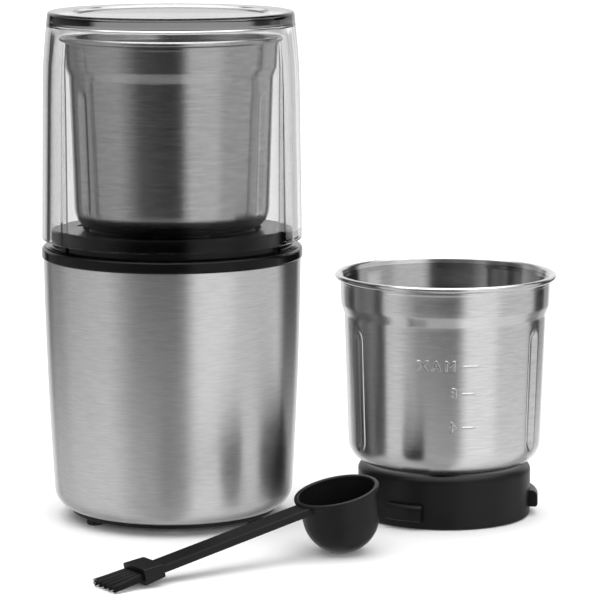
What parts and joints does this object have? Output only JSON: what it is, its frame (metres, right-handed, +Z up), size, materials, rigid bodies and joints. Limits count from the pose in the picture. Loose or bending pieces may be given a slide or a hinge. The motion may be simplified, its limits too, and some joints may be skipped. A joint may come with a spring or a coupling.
{
  "type": "electric grinder",
  "caption": "Press-lid electric grinder with a steel housing, a lift-out bladed cup under a clear lid, a spare cup and a measuring scoop with a cleaning brush.",
  "frame": {"origin": "on the table, on the axis of the motor, level with the undersides of the feet", "axes": "+Z up along the motor's axis, -Y to the front of the grinder, +X towards the spare cup"},
  "size_m": [0.2063, 0.1867, 0.2045],
  "materials": {
    "sleeve_steel": "satin brushed",
    "cup_steel": "brushed",
    "black_gloss": "gloss",
    "clear_smoke": "clear gloss",
    "black_matte": "satin",
    "frame_plastic": "matt",
    "coupling_plastic": "matt",
    "bristle_nylon": "satin",
    "soft_rubber": "matt",
    "blade_steel": "polished",
    "machine_steel": "plain steel",
    "core_iron": "laminated",
    "winding_copper": "enamelled",
    "bearing_bronze": "plain",
    "carbon": "matt"
  },
  "bodies": {
    "base": {"body_sleeve": "sleeve_steel", "top_deck": "black_gloss", "motor_frame": "frame_plastic", "bottom_cover": "black_matte", "rubber_feet": "soft_rubber", "cover_screws": "machine_steel", "deck_screws": "machine_steel", "cord_gland": "soft_rubber", "stator_core": "core_iron", "field_coils": "winding_copper", "upper_bracket": "machine_steel", "lower_bracket": "machine_steel", "upper_bearing": "bearing_bronze", "lower_bearing": "bearing_bronze", "brush_holders": "frame_plastic", "carbon_brushes": "carbon", "motor_bolts": "machine_steel", "motor_mounts": "soft_rubber", "mount_screws": "machine_steel", "shaft_seal": "soft_rubber", "lid_switch": "frame_plastic", "plunger_spring": "machine_steel"},
    "plunger": {"lid_plunger": "frame_plastic"},
    "lid": {"lid": "clear_smoke"},
    "rotor": {"motor_shaft": "machine_steel", "armature_core": "core_iron", "armature_winding": "winding_copper", "commutator": "winding_copper", "cooling_fan": "frame_plastic", "drive_coupling": "coupling_plastic"},
    "cup": {"cup_shell": "cup_steel", "cup_base": "black_matte", "cup_bushing": "bearing_bronze", "cup_seal": "soft_rubber", "cup_locknut": "bearing_bronze"},
    "blade": {"blade_shaft": "blade_steel", "grinding_blade": "blade_steel", "blade_nut": "blade_steel", "cup_coupling": "coupling_plastic"},
    "spare_cup": {"spare_shell": "cup_steel", "spare_base": "black_matte", "spare_bushing": "bearing_bronze", "spare_seal": "soft_rubber", "spare_locknut": "bearing_bronze"},
    "spare_blade": {"spare_shaft": "blade_steel", "chopping_blade": "blade_steel", "spare_nut": "blade_steel", "spare_coupling": "coupling_plastic"},
    "scoop": {"measuring_scoop": "black_matte", "brush_bristles": "bristle_nylon"}
  },
  "joints": [
    {"name": "plunger_press", "type": "slide", "parent": "base", "child": "plunger", "axis": [0, 0, 1], "range_m": [-0.0024, 0], "stiffness_N_per_m": 600, "springref_m": 0.004, "deforming": ["plunger_spring"]},
    {"name": "lid_lift", "type": "slide", "parent": "plunger", "child": "lid", "axis": [0, 0, 1], "range_m": [0, 0.11]},
    {"name": "cup_twist", "type": "hinge", "parent": "base", "child": "cup", "pos_m": [0, 0, 0.0958], "axis": [0, 0, 1], "range_deg": [0, 32]},
    {"name": "rotor_spin", "type": "hinge", "parent": "base", "child": "rotor", "pos_m": [0, 0, 0.05], "axis": [0, 0, 1], "continuous": true},
    {"name": "blade_spin", "type": "hinge", "parent": "base", "child": "blade", "pos_m": [0, 0, 0.12], "axis": [0, 0, 1], "continuous": true},
    {"name": "spare_lift", "type": "slide", "parent": "base", "child": "spare_cup", "axis": [0, 0, 1], "range_m": [0, 0.12]},
    {"name": "spare_blade_spin", "type": "hinge", "parent": "spare_cup", "child": "spare_blade", "pos_m": [0.1097, -0.00385, 0.025], "axis": [0, 0, 1], "continuous": true},
    {"name": "scoop_lift", "type": "slide", "parent": "base", "child": "scoop", "axis": [0, 0, 1], "range_m": [0, 0.1]}
  ],
  "couplings": [
    {"joint": "blade_spin", "follows": "rotor_spin", "ratio": 1}
  ]
}
